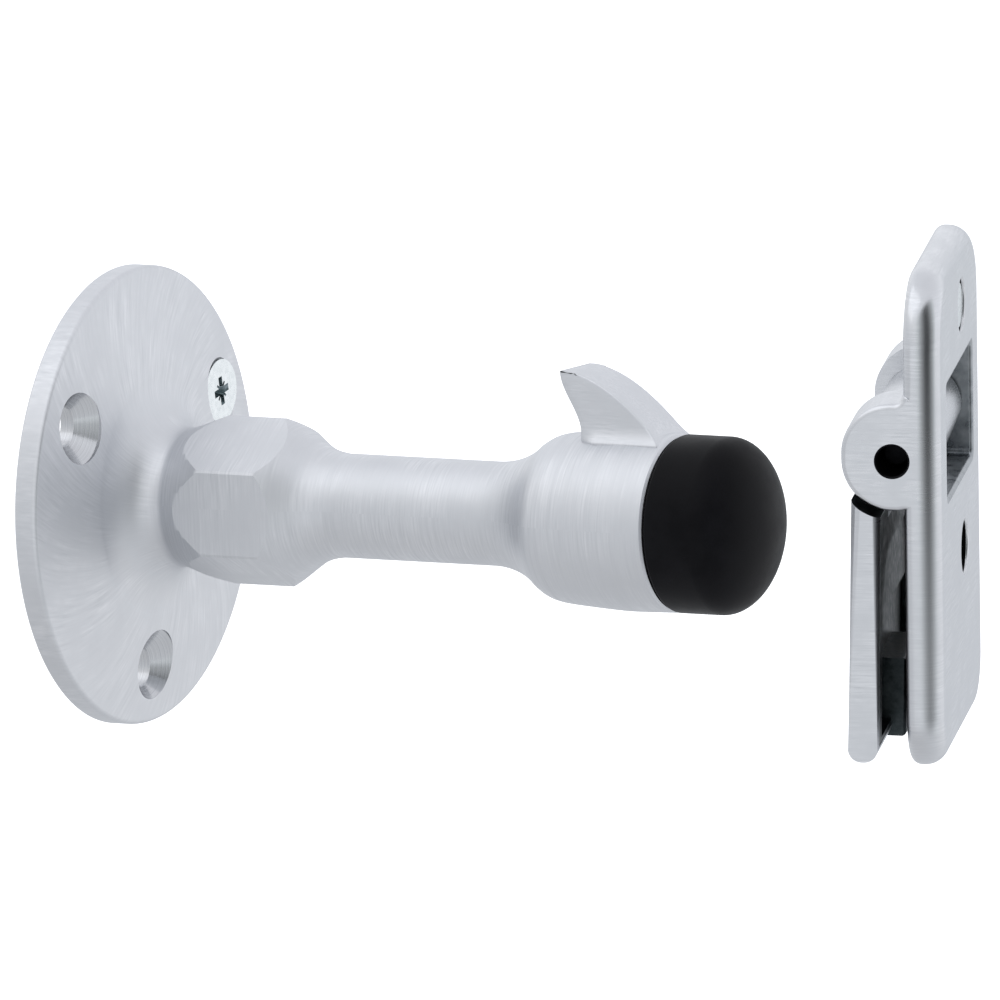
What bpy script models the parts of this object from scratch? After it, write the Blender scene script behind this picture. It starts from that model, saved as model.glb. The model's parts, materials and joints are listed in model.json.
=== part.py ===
"""A wall-mounted door stop with a cast hook, and the hinged keeper on the door that drops behind it.

Frame: the origin is the centre of the flange's back face, which lies on the wall. +X points out of
the wall along the stop and +Z is up. The keeper is modelled in its own frame, with its origin at the
middle of its hinge pin, x towards the door, y along the pin and z up.
"""
import math

import bmesh
import bpy
from mathutils import Vector

MM = 0.001
GAP = 0.3 * MM
WELD = 0.001 * MM
TURNED_SIDES = 48
ROUND_SIDES = 32

# Wall flange and its three countersunk holes.
FLANGE_RADIUS = 31.75 * MM
FLANGE_RIM = 3.45 * MM
FLANGE_EDGE_ROUND = 0.7 * MM
FLANGE_CROWN = 5.8 * MM
NECK_FILLET = 5.0 * MM
NECK_RADIUS = 9.6 * MM
HOLE_CIRCLE_RADIUS = 24.0 * MM
HOLE_ANGLES = (150.0, 30.0, -90.0)
SCREWED_HOLE_ANGLE = 30.0
HOLE_RADIUS = 2.9 * MM
SINK_RADIUS = 5.25 * MM
SINK_TOP = 4.75 * MM
SINK_HALF_ANGLE = math.radians(41.0)

# Hexagon collar, shank and head, along the stop.
COLLAR_RADIUS = 11.65 * MM
COLLAR_START = 17.1 * MM
COLLAR_END = 26.1 * MM
HEX_APOTHEM = 10.32 * MM
HEX_START = 10.9 * MM
HEX_FINISH = 31.5 * MM
HEX_CORNER_ANGLE = 93.9
SHANK_RADIUS = 7.2 * MM
SHANK_START = 35.0 * MM
FLARE_START = 58.5 * MM
FLARE_RADIUS = 12.7 * MM
FLARE_SWEEP = 42.0
HEAD_RADIUS = 12.4 * MM
HEAD_FACE = 87.1 * MM
# Points of the half section, (x, radius) in millimetres, between those stretches.
NECK_TO_COLLAR = ((13.1, 10.3),)
COLLAR_TO_SHANK = ((27.4, 10.9), (29.1, 9.65), (31.1, 8.3), (33.0, 7.55))
FLARE_TO_HEAD = ((68.2, 11.2), (69.6, 11.65), (72.0, 11.95), (79.0, 12.4), (83.0, 12.4))

# Rubber bumper, held by a stem pressed into the head.
BUMPER_RADIUS = 12.3 * MM
BUMPER_SIDE_END = 94.0 * MM
BUMPER_TIP = 100.8 * MM
STEM_RADIUS = 6.0 * MM
STEM_LENGTH = 10.0 * MM

# Hook cast on top of the head.
HOOK_WIDTH = 9.0 * MM
HOOK_TOP = 20.9 * MM
HOOK_TIP_BACK = 70.8 * MM
HOOK_TIP_FRONT = 71.3 * MM
HOOK_ROOT_BACK = 73.96 * MM
HOOK_ROOT_HEIGHT = 12.5 * MM
HOOK_SIDE_FILLET = 3.5 * MM
HOOK_FLARE_LENGTH = 2.5 * MM
HOOK_SUNK_DEPTH = 4.5 * MM
HOOK_SUNK_WIDTH = 0.7
# The ramp drops with a power of the distance from the tip, and is sliced at these distances in mm.
RAMP_POWER = 1.75
RAMP_DROP_AT_10_MM = 4.75 * MM
RAMP_SLICES = (0.0, 1.0, 2.4, 4.2, 6.2, 8.2, 10.0, 11.4, 12.5, 13.4, 14.2, 15.0)

# Screws. A cross recess is (reach, half width) of its arms, and tapers to its floor.
SCREW_HEAD_RADIUS = 4.42 * MM
SCREW_HEAD_RIM = 0.1 * MM
SCREW_SHANK_RADIUS = 2.3 * MM
SCREW_REACH = 25.0 * MM
SCREW_POINT = 5.0 * MM
RECESS_DEPTH = 1.7 * MM
RECESS_TAPER = 0.45
WALL_SCREW_RECESS = (2.4 * MM, 0.45 * MM)
PLATE_SCREW_RECESS = (2.6 * MM, 0.5 * MM)

# Keeper: where it is held, beside and above the bumper.
KEEPER_PLACE = (141.3 * MM, -35.0 * MM, 20.6 * MM)
KEEPER_TURN = (math.radians(6.0), math.radians(1.0), math.radians(20.0))

# Keeper plate, screwed to the door by its flat back.
KEEPER_WIDTH = 44.0 * MM
PLATE_FRONT = 1.5 * MM
PLATE_BACK = 6.5 * MM
PLATE_TOP = 24.9 * MM
PLATE_BOTTOM = -43.9 * MM
PLATE_TOP_CORNER = 10.0 * MM
PLATE_BOTTOM_CORNER = 8.0 * MM
PLATE_BACK_ROUND = 2.5 * MM
PLATE_FRONT_ROUND = 0.8 * MM
EAR_RADIUS = 7.0 * MM
EAR_RISE = 0.9 * MM
EAR_FILLET = 1.2 * MM
EAR_GAP = 27.2 * MM
WINDOW_TOP = 8.5 * MM
WINDOW_BOTTOM = -7.4 * MM
WINDOW_LIP = 0.7 * MM
PLATE_HOLE_RADIUS = 3.6 * MM
PLATE_HOLES = ((3.0 * MM, 16.0 * MM), (3.9 * MM, -17.9 * MM))
PLATE_SINK_RADIUS = 5.4 * MM
PLATE_HOLE_CHAMFER = 0.4 * MM

# Hinge pin.
PIN_RADIUS = 1.8 * MM
PIN_LENGTH = 34.0 * MM
PIN_HOLE_RADIUS = 2.1 * MM

# Catch flap, which hangs from the pin.
FLAP_REST_TILT = math.radians(1.1)
FLAP_FRONT = -5.7 * MM
FLAP_BACK = -1.6 * MM
FLAP_BOTTOM = -42.2 * MM
FLAP_EDGE_ROUND = 1.0 * MM
FLAP_FOOT_ROUND = 1.9 * MM
FLAP_TOP_RADIUS = 8.2 * MM
KNUCKLE_RADIUS = 5.0 * MM
WEB_CORNER = (2.9 * MM, -6.2 * MM)
WEB_FOOT = -10.0 * MM
KNUCKLE_WIDTH = 26.6 * MM
POCKET_HALF_WIDTH = 17.5 * MM
POCKET_TOP = -14.0 * MM
POCKET_STEP = -24.5 * MM
POCKET_BOTTOM = -39.6 * MM
POCKET_CORNER = 8.7 * MM
POCKET_DEPTH = 1.2 * MM
LOWER_POCKET_DEPTH = 1.9 * MM
PAD_HALF_WIDTH = 7.4 * MM
PAD_TOP = -31.0 * MM
PAD_PROUD = 2.0 * MM

SATIN_CHROME = (0.62, 0.63, 0.64)
ZINC = (0.70, 0.70, 0.68)
DARK_STEEL = (0.12, 0.12, 0.13)
BLACK_RUBBER = (0.012, 0.012, 0.014)


def clear_scene():
    for thing in list(bpy.data.objects):
        bpy.data.objects.remove(thing, do_unlink=True)


def arc(centre, radius, start, end, steps):
    """Points on a circle in a plane, from one angle in degrees to another, both ends included."""
    angles = [math.radians(start + (end - start) * step / steps) for step in range(steps + 1)]
    return [(centre[0] + radius * math.cos(a), centre[1] + radius * math.sin(a)) for a in angles]


def smoothstep(value):
    t = min(max(value, 0.0), 1.0)
    return t * t * (3.0 - 2.0 * t)


def turned(profile, sides):
    """A solid of revolution about X, from (x, radius) points that begin and end on the axis."""
    shape = bmesh.new()
    points = [shape.verts.new((x, radius, 0.0)) for x, radius in profile]
    edges = [shape.edges.new(pair) for pair in zip(points, points[1:])]
    bmesh.ops.spin(
        shape, geom=points + edges, cent=(0, 0, 0), axis=(1, 0, 0), angle=math.tau, steps=sides
    )
    bmesh.ops.remove_doubles(shape, verts=shape.verts, dist=WELD)
    bmesh.ops.recalc_face_normals(shape, faces=shape.faces)
    return shape


def prism(outline, along):
    """A closed solid: a flat outline of corners, swept along a vector."""
    shape = bmesh.new()
    base = shape.faces.new([shape.verts.new(corner) for corner in outline])
    swept = bmesh.ops.extrude_face_region(shape, geom=[base])["geom"]
    moved = [item for item in swept if isinstance(item, bmesh.types.BMVert)]
    bmesh.ops.translate(shape, verts=moved, vec=along)
    bmesh.ops.recalc_face_normals(shape, faces=shape.faces)
    return shape


def loft(rings):
    """A closed solid through rings with equal numbers of corners, capped at both ends."""
    shape = bmesh.new()
    loops = [[shape.verts.new(corner) for corner in ring] for ring in rings]
    for lower, upper in zip(loops, loops[1:]):
        for index in range(len(lower)):
            after = (index + 1) % len(lower)
            shape.faces.new((lower[index], lower[after], upper[after], upper[index]))
    shape.faces.new(loops[0])
    shape.faces.new(loops[-1])
    bmesh.ops.recalc_face_normals(shape, faces=shape.faces)
    return shape


def round_edges(shape, chosen, width, segments):
    edges = [edge for edge in shape.edges if chosen(edge)]
    bmesh.ops.bevel(
        shape, geom=edges, offset=width, segments=segments, profile=0.5, affect="EDGES"
    )
    bmesh.ops.recalc_face_normals(shape, faces=shape.faces)


def in_plane_x(edge, x):
    return all(abs(vert.co.x - x) < WELD for vert in edge.verts)


def add_object(name, shape, parent=None, place=(0, 0, 0), turn=(0, 0, 0)):
    mesh = bpy.data.meshes.new(name)
    shape.to_mesh(mesh)
    shape.free()
    mesh.shade_smooth()
    mesh.set_sharp_from_angle(angle=math.radians(30))
    thing = bpy.data.objects.new(name, mesh)
    thing.parent = parent
    thing.location = place
    thing.rotation_euler = turn
    bpy.context.scene.collection.objects.link(thing)
    return thing


def add_part(name, shape, colour, roughness, metallic, parent=None, place=(0, 0, 0)):
    part = add_object(name, shape, parent, place)
    material = bpy.data.materials.new(name + "_material")
    material.use_nodes = True
    surface = material.node_tree.nodes["Principled BSDF"]
    surface.inputs["Base Color"].default_value = (*colour, 1.0)
    surface.inputs["Roughness"].default_value = roughness
    surface.inputs["Metallic"].default_value = metallic
    part.data.materials.append(material)
    return part


def combine(part, name, shape, operation, place=(0, 0, 0), turn=(0, 0, 0)):
    """Joins a hidden helper solid to a part, or cuts it away."""
    helper = add_object(name, shape, part.parent, place, turn)
    helper.hide_render = True
    helper.display_type = "WIRE"
    boolean = part.modifiers.new(name, "BOOLEAN")
    boolean.operation = operation
    boolean.object = helper


def add_empty(name, place, turn=(0, 0, 0), parent=None):
    empty = bpy.data.objects.new(name, None)
    empty.empty_display_size = 10 * MM
    empty.location = place
    empty.rotation_euler = turn
    empty.parent = parent
    bpy.context.scene.collection.objects.link(empty)
    return empty


def in_metres(points):
    return [(x * MM, radius * MM) for x, radius in points]


def on_hole_circle(angle):
    turn = math.radians(angle)
    return (0.0, HOLE_CIRCLE_RADIUS * math.cos(turn), HOLE_CIRCLE_RADIUS * math.sin(turn))


def stop_profile():
    """Half section of the stop from the wall face to the head's front, without hook or holes."""
    rim = FLANGE_RIM - FLANGE_EDGE_ROUND
    edge = (rim, FLANGE_RADIUS - FLANGE_EDGE_ROUND)
    fillet = (FLANGE_CROWN + NECK_FILLET, NECK_RADIUS + NECK_FILLET)
    flare = (FLARE_START, SHANK_RADIUS + FLARE_RADIUS)
    profile = [(0.0, 0.0), (0.0, FLANGE_RADIUS - GAP), (GAP, FLANGE_RADIUS)]
    profile += arc(edge, FLANGE_EDGE_ROUND, 90, 8, 3)
    profile += arc(fillet, NECK_FILLET, 180, 270, 7)
    profile += in_metres(NECK_TO_COLLAR)
    profile += [(COLLAR_START, COLLAR_RADIUS), (COLLAR_END, COLLAR_RADIUS)]
    profile += in_metres(COLLAR_TO_SHANK)
    profile.append((SHANK_START, SHANK_RADIUS))
    profile += arc(flare, FLARE_RADIUS, -90, -90 + FLARE_SWEEP, 6)
    profile += in_metres(FLARE_TO_HEAD)
    profile += [(HEAD_FACE - GAP, BUMPER_RADIUS), (HEAD_FACE, BUMPER_RADIUS - GAP)]
    profile += [(HEAD_FACE, 0.0)]
    return profile


def hexagon(x, apothem):
    corners = arc((0.0, 0.0), apothem / math.cos(math.pi / 6), 0, 300, 5)
    turn = math.radians(HEX_CORNER_ANGLE)
    return [
        (x, y * math.cos(turn) - z * math.sin(turn), y * math.sin(turn) + z * math.cos(turn))
        for y, z in corners
    ]


def hexagon_flats():
    """A ring with a hexagonal hole: what it takes away leaves the collar's six flats."""
    shape = bmesh.new()
    outer = COLLAR_RADIUS + 2 * MM
    rings = [
        [shape.verts.new(corner) for corner in hexagon(x, apothem)]
        for x, apothem in (
            (HEX_START, HEX_APOTHEM),
            (HEX_START, outer),
            (HEX_FINISH, outer),
            (HEX_FINISH, HEX_APOTHEM),
        )
    ]
    for ring, following in zip(rings, rings[1:] + rings[:1]):
        for index in range(6):
            after = (index + 1) % 6
            shape.faces.new((ring[index], ring[after], following[after], following[index]))
    bmesh.ops.recalc_face_normals(shape, faces=shape.faces)
    return shape


def hook_half_width(height):
    """Half the hook's width: parallel sides that flare into the round head with a fillet."""
    half = HOOK_WIDTH / 2
    reach = HEAD_RADIUS + HOOK_SIDE_FILLET
    centre = math.sqrt(reach**2 - (half + HOOK_SIDE_FILLET) ** 2)
    root = centre * HEAD_RADIUS / reach
    drop = centre - max(height, root)
    if drop <= 0.0:
        return half
    return half + HOOK_SIDE_FILLET - math.sqrt(HOOK_SIDE_FILLET**2 - drop**2)


def hook_shape():
    """The hook as level slices: an upright back that leans over at the tip, and a rounded ramp."""
    rings = []
    lean = HOOK_ROOT_BACK - HOOK_TIP_BACK
    for along in RAMP_SLICES:
        drop = RAMP_DROP_AT_10_MM * (along / 10.0) ** RAMP_POWER
        height = HOOK_TOP - drop
        risen = (height - HOOK_ROOT_HEIGHT) / (HOOK_TOP - HOOK_ROOT_HEIGHT)
        back = HOOK_ROOT_BACK - lean * smoothstep(risen)
        front = HOOK_TIP_FRONT + along * MM
        half = hook_half_width(height)
        plan = [(back, HOOK_WIDTH / 2), (min(back + HOOK_FLARE_LENGTH, front), half), (front, half)]
        ring = [(x, -y, height) for x, y in plan]
        rings.append(ring + [(x, y, height) for x, y in reversed(plan)])
    sunk = HEAD_RADIUS - HOOK_SUNK_DEPTH
    rings.append([(x, y * HOOK_SUNK_WIDTH, sunk) for x, y, _ in rings[-1]])
    return loft(rings)


def countersink_cutter():
    """A stepped cutter along X: the through hole, an 82 degree cone and a short bore above it."""
    cone = (SINK_RADIUS - HOLE_RADIUS) / math.tan(SINK_HALF_ANGLE)
    outside = FLANGE_CROWN + 2 * MM
    profile = [(-MM, 0.0), (-MM, HOLE_RADIUS), (SINK_TOP - cone, HOLE_RADIUS)]
    profile += [(SINK_TOP, SINK_RADIUS), (outside, SINK_RADIUS), (outside, 0.0)]
    return turned(profile, ROUND_SIDES)


def cross_recess(top, reach, arm):
    """A tapered cross that a screwdriver fits, cut down along -X from a head's top."""
    outline = [(-arm, -arm), (-arm, -reach), (arm, -reach), (arm, -arm), (reach, -arm), (reach, arm)]
    outline += [(-y, -z) for y, z in outline]
    rings = [
        [(top + 0.5 * MM, y, z) for y, z in outline],
        [(top, y, z) for y, z in outline],
        [(top - RECESS_DEPTH, y * RECESS_TAPER, z * RECESS_TAPER) for y, z in outline],
    ]
    return loft(rings)


def build_stop():
    body = add_part(
        "stop_body", turned(stop_profile(), TURNED_SIDES), SATIN_CHROME, 0.30, 1.0
    )
    combine(body, "hexagon_flats", hexagon_flats(), "DIFFERENCE")
    combine(body, "hook", hook_shape(), "UNION")
    for number, angle in enumerate(HOLE_ANGLES, 1):
        hole = on_hole_circle(angle)
        combine(body, f"wall_hole_{number}", countersink_cutter(), "DIFFERENCE", hole)
    socket_end = HEAD_FACE - STEM_LENGTH - GAP
    socket = [(socket_end, 0.0), (socket_end, STEM_RADIUS + GAP)]
    socket += [(HEAD_FACE + MM, STEM_RADIUS + GAP), (HEAD_FACE + MM, 0.0)]
    combine(body, "stem_socket", turned(socket, ROUND_SIDES), "DIFFERENCE")


def build_bumper():
    back = HEAD_FACE + GAP
    profile = [(back - STEM_LENGTH, 0.0), (back - STEM_LENGTH, STEM_RADIUS), (back, STEM_RADIUS)]
    profile += [(back, BUMPER_RADIUS - GAP), (back + GAP, BUMPER_RADIUS)]
    dome = BUMPER_TIP - BUMPER_SIDE_END
    for x, y in arc((0.0, 0.0), 1.0, 90, 0, 9):
        profile.append((BUMPER_SIDE_END + dome * x, BUMPER_RADIUS * y))
    profile[-1] = (BUMPER_TIP, 0.0)
    add_part("rubber_bumper", turned(profile, TURNED_SIDES), BLACK_RUBBER, 0.55, 0.0)


def build_wall_screw():
    """A flat-head wood screw that sits in its countersink with a gap all round."""
    slope = math.tan(SINK_HALF_ANGLE)
    lift = GAP / math.sin(SINK_HALF_ANGLE)
    head_edge = SINK_TOP - (SINK_RADIUS - SCREW_HEAD_RADIUS) / slope + lift
    cone_end = head_edge - (SCREW_HEAD_RADIUS - SCREW_SHANK_RADIUS) / slope
    top = head_edge + SCREW_HEAD_RIM
    profile = [(-SCREW_REACH, 0.0), (SCREW_POINT - SCREW_REACH, SCREW_SHANK_RADIUS)]
    profile += [(cone_end, SCREW_SHANK_RADIUS), (head_edge, SCREW_HEAD_RADIUS)]
    profile += [(top, SCREW_HEAD_RADIUS), (top, 0.0)]
    place = on_hole_circle(SCREWED_HOLE_ANGLE)
    screw = add_part("wall_screw", turned(profile, ROUND_SIDES), ZINC, 0.35, 1.0, place=place)
    recess = cross_recess(top, *WALL_SCREW_RECESS)
    combine(screw, "screwdriver_recess", recess, "DIFFERENCE", place)


def along_pin(shape):
    """Lays a shape turned about X along the pin, which is the keeper's y axis."""
    for vert in shape.verts:
        vert.co = Vector((-vert.co.y, vert.co.x, vert.co.z))
    return shape


def pin_bore(width):
    """A round cutter along the hinge pin, right through a piece of this width."""
    reach = width / 2 + MM
    radius = PIN_HOLE_RADIUS
    bore = turned([(-reach, 0.0), (-reach, radius), (reach, radius), (reach, 0.0)], ROUND_SIDES)
    return along_pin(bore)


def plate_outline(x):
    half = KEEPER_WIDTH / 2
    low = half - PLATE_BOTTOM_CORNER
    high = half - PLATE_TOP_CORNER
    foot = PLATE_BOTTOM + PLATE_BOTTOM_CORNER
    head = PLATE_TOP - PLATE_TOP_CORNER
    outline = arc((low, foot), PLATE_BOTTOM_CORNER, -90, 0, 6)
    outline += arc((high, head), PLATE_TOP_CORNER, 0, 90, 6)
    outline += arc((-high, head), PLATE_TOP_CORNER, 90, 180, 6)
    outline += arc((-low, foot), PLATE_BOTTOM_CORNER, 180, 270, 6)
    return [(x, y, z) for y, z in outline]


def ear_shape(start):
    """One hinge ear: round below the pin and a little taller above it, blended into the plate."""
    inside = PLATE_FRONT + 2 * MM
    fillet_x = PLATE_FRONT - EAR_FILLET
    rise = math.sqrt((EAR_RADIUS + EAR_FILLET) ** 2 - fillet_x**2)
    fillet_z = EAR_RISE + rise
    lean = math.degrees(math.atan2(rise, fillet_x))
    low = math.degrees(math.acos(PLATE_FRONT / EAR_RADIUS))
    outline = [(inside, -EAR_RADIUS * math.sin(math.radians(low)))]
    outline.append((inside, fillet_z))
    outline += arc((fillet_x, fillet_z), EAR_FILLET, 0, lean - 180, 4)
    outline += arc((0.0, EAR_RISE), EAR_RADIUS, lean, 180, 9)[1:]
    outline += arc((0.0, 0.0), EAR_RADIUS, 180, 360 - low, 9)
    thickness = (KEEPER_WIDTH - EAR_GAP) / 2
    return prism([(x, start, z) for x, z in outline], (0, thickness, 0))


def window_cutter():
    """The opening that the flap's knuckle turns in, with a sloped lip at its lower edge."""
    half = EAR_GAP / 2
    behind = PLATE_BACK + MM
    outline = [(PLATE_FRONT - MM, WINDOW_BOTTOM), (PLATE_BACK - WINDOW_LIP, WINDOW_BOTTOM)]
    outline += [(behind, WINDOW_BOTTOM - WINDOW_LIP - MM), (behind, WINDOW_TOP)]
    outline.append((PLATE_FRONT - MM, WINDOW_TOP))
    return prism([(x, -half, z) for x, z in outline], (0, EAR_GAP, 0))


def plate_hole_cutter():
    """A through hole with a countersink at the plate's front and a small chamfer at its back."""
    cone = (PLATE_SINK_RADIUS - PLATE_HOLE_RADIUS) / math.tan(SINK_HALF_ANGLE)
    wide = PLATE_HOLE_RADIUS + PLATE_HOLE_CHAMFER
    profile = [(PLATE_FRONT - MM, 0.0), (PLATE_FRONT - MM, PLATE_SINK_RADIUS)]
    profile += [(PLATE_FRONT, PLATE_SINK_RADIUS), (PLATE_FRONT + cone, PLATE_HOLE_RADIUS)]
    profile += [(PLATE_BACK - PLATE_HOLE_CHAMFER, PLATE_HOLE_RADIUS), (PLATE_BACK, wide)]
    profile += [(PLATE_BACK + MM, wide), (PLATE_BACK + MM, 0.0)]
    return turned(profile, ROUND_SIDES)


def build_plate(keeper):
    slab = prism(plate_outline(PLATE_FRONT), (PLATE_BACK - PLATE_FRONT, 0, 0))
    round_edges(slab, lambda edge: in_plane_x(edge, PLATE_BACK), PLATE_BACK_ROUND, 4)
    round_edges(slab, lambda edge: in_plane_x(edge, PLATE_FRONT), PLATE_FRONT_ROUND, 2)
    plate = add_part("door_plate", slab, SATIN_CHROME, 0.30, 1.0, keeper)
    combine(plate, "near_ear", ear_shape(-KEEPER_WIDTH / 2), "UNION")
    combine(plate, "far_ear", ear_shape(EAR_GAP / 2), "UNION")
    combine(plate, "window", window_cutter(), "DIFFERENCE")
    for number, (y, z) in enumerate(PLATE_HOLES, 1):
        combine(plate, f"plate_hole_{number}", plate_hole_cutter(), "DIFFERENCE", (0, y, z))
    combine(plate, "ear_pin_hole", pin_bore(KEEPER_WIDTH), "DIFFERENCE")


def build_pin(keeper):
    half = PIN_LENGTH / 2
    profile = [(-half, 0.0), (-half, PIN_RADIUS - GAP), (GAP - half, PIN_RADIUS)]
    profile += [(half - GAP, PIN_RADIUS), (half, PIN_RADIUS - GAP), (half, 0.0)]
    pin = along_pin(turned(profile, ROUND_SIDES))
    add_part("hinge_pin", pin, DARK_STEEL, 0.4, 1.0, keeper)


def build_plate_screw(keeper):
    """The short screw left in the upper hole, its end level with the plate's back."""
    radius = PLATE_HOLE_RADIUS - GAP
    slope = math.tan(SINK_HALF_ANGLE)
    front = PLATE_FRONT + GAP
    cone_end = front + (PLATE_SINK_RADIUS - PLATE_HOLE_RADIUS) / slope
    end = PLATE_BACK - GAP
    profile = [(front, 0.0), (front, PLATE_SINK_RADIUS - GAP), (cone_end, radius)]
    profile += [(end - GAP, radius), (end, radius - GAP), (end, 0.0)]
    place = (0.0, *PLATE_HOLES[0])
    screw = add_part(
        "plate_screw", turned(profile, ROUND_SIDES), ZINC, 0.35, 1.0, keeper, place
    )
    recess = cross_recess(-front, *PLATE_SCREW_RECESS)
    combine(screw, "plate_screw_recess", recess, "DIFFERENCE", place, (0, 0, math.pi))


def knuckle_shape():
    """The flap's knuckle about the pin, with the thick web that joins it to the flap."""
    curl = [
        (KNUCKLE_RADIUS - (KNUCKLE_RADIUS + FLAP_FRONT) * smoothstep(turn / 90.0), 90.0 + turn)
        for turn in range(90, 0, -15)
    ]
    outline = [(FLAP_FRONT, WEB_FOOT)]
    outline += [
        (radius * math.cos(math.radians(angle)), radius * math.sin(math.radians(angle)))
        for radius, angle in curl
    ]
    outline += arc((0.0, 0.0), KNUCKLE_RADIUS, 90, -10, 8)
    outline += [WEB_CORNER, (FLAP_BACK, WEB_CORNER[1]), (FLAP_BACK, WEB_FOOT)]
    half = KNUCKLE_WIDTH / 2
    return prism([(x, -half, z) for x, z in outline], (0, KNUCKLE_WIDTH, 0))


def flap_slab():
    half = KEEPER_WIDTH / 2
    corners = ((-half, FLAP_BOTTOM), (half, FLAP_BOTTOM), (half, 0.0), (-half, 0.0))
    slab = prism([(FLAP_FRONT, y, z) for y, z in corners], (FLAP_BACK - FLAP_FRONT, 0, 0))

    def at_foot(edge):
        level = all(vert.co.z < FLAP_BOTTOM + WELD for vert in edge.verts)
        return level and abs(edge.verts[0].co.x - edge.verts[1].co.x) < WELD

    def front_side(edge):
        upright = abs(edge.verts[0].co.z - edge.verts[1].co.z) > KEEPER_WIDTH / 2
        return upright and in_plane_x(edge, FLAP_FRONT)

    round_edges(slab, at_foot, FLAP_FOOT_ROUND, 4)
    round_edges(slab, front_side, FLAP_EDGE_ROUND, 3)
    return slab


def ear_clearance():
    """A round cutter about the pin that keeps the flap's shoulders off the ears."""
    radius = FLAP_TOP_RADIUS
    width = (KEEPER_WIDTH - KNUCKLE_WIDTH) / 2 + MM
    profile = [(0.0, 0.0), (0.0, radius), (width, radius), (width, 0.0)]
    return along_pin(turned(profile, TURNED_SIDES))


def pocket(outline, depth):
    return prism([(FLAP_BACK - depth, y, z) for y, z in outline], (depth + MM, 0, 0))


def build_flap(keeper):
    axis = add_empty("flap_axis", (0, 0, 0), (0, FLAP_REST_TILT, 0), keeper)
    flap = add_part("catch_flap", flap_slab(), SATIN_CHROME, 0.30, 1.0, axis)
    near_end = -KEEPER_WIDTH / 2 - MM
    combine(flap, "near_ear_clearance", ear_clearance(), "DIFFERENCE", (0, near_end, 0))
    combine(flap, "far_ear_clearance", ear_clearance(), "DIFFERENCE", (0, KNUCKLE_WIDTH / 2, 0))
    centre_y = POCKET_HALF_WIDTH - POCKET_CORNER
    centre_z = POCKET_TOP - POCKET_CORNER
    upper = [(-POCKET_HALF_WIDTH, POCKET_BOTTOM), (POCKET_HALF_WIDTH, POCKET_BOTTOM)]
    upper += arc((centre_y, centre_z), POCKET_CORNER, 0, 90, 5)
    upper += arc((-centre_y, centre_z), POCKET_CORNER, 90, 180, 5)
    lower = [(-POCKET_HALF_WIDTH, POCKET_BOTTOM), (POCKET_HALF_WIDTH, POCKET_BOTTOM)]
    lower += [(POCKET_HALF_WIDTH, POCKET_STEP), (-POCKET_HALF_WIDTH, POCKET_STEP)]
    combine(flap, "upper_pocket", pocket(upper, POCKET_DEPTH), "DIFFERENCE")
    combine(flap, "lower_pocket", pocket(lower, LOWER_POCKET_DEPTH), "DIFFERENCE")
    combine(flap, "knuckle", knuckle_shape(), "UNION")
    foot = FLAP_BOTTOM + GAP
    pad = [(-PAD_HALF_WIDTH, foot), (PAD_HALF_WIDTH, foot)]
    pad += [(PAD_HALF_WIDTH, PAD_TOP), (-PAD_HALF_WIDTH, PAD_TOP)]
    start = (FLAP_FRONT + FLAP_BACK) / 2
    solid = prism([(start, y, z) for y, z in pad], (FLAP_BACK + PAD_PROUD - start, 0, 0))
    combine(flap, "catch_pad", solid, "UNION")
    combine(flap, "knuckle_bore", pin_bore(KNUCKLE_WIDTH), "DIFFERENCE")


def build():
    clear_scene()
    build_stop()
    build_bumper()
    build_wall_screw()
    keeper = add_empty("keeper_frame", KEEPER_PLACE, KEEPER_TURN)
    build_plate(keeper)
    build_pin(keeper)
    build_plate_screw(keeper)
    build_flap(keeper)


build()
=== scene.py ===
"""The wall door stop and its keeper as they look: brushed satin chrome, black rubber, zinc screws.

Lengths are in metres. The stop is modelled in the part's own frame: +X along the stop, away from the
wall, and +Z up. The keeper's pieces are modelled in the keeper's frame, with its origin at the middle
of the hinge pin: x towards the door, y along the pin, z up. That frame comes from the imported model.
"""
import json
import math

import bmesh
import bpy
from mathutils import Matrix, Vector

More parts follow.
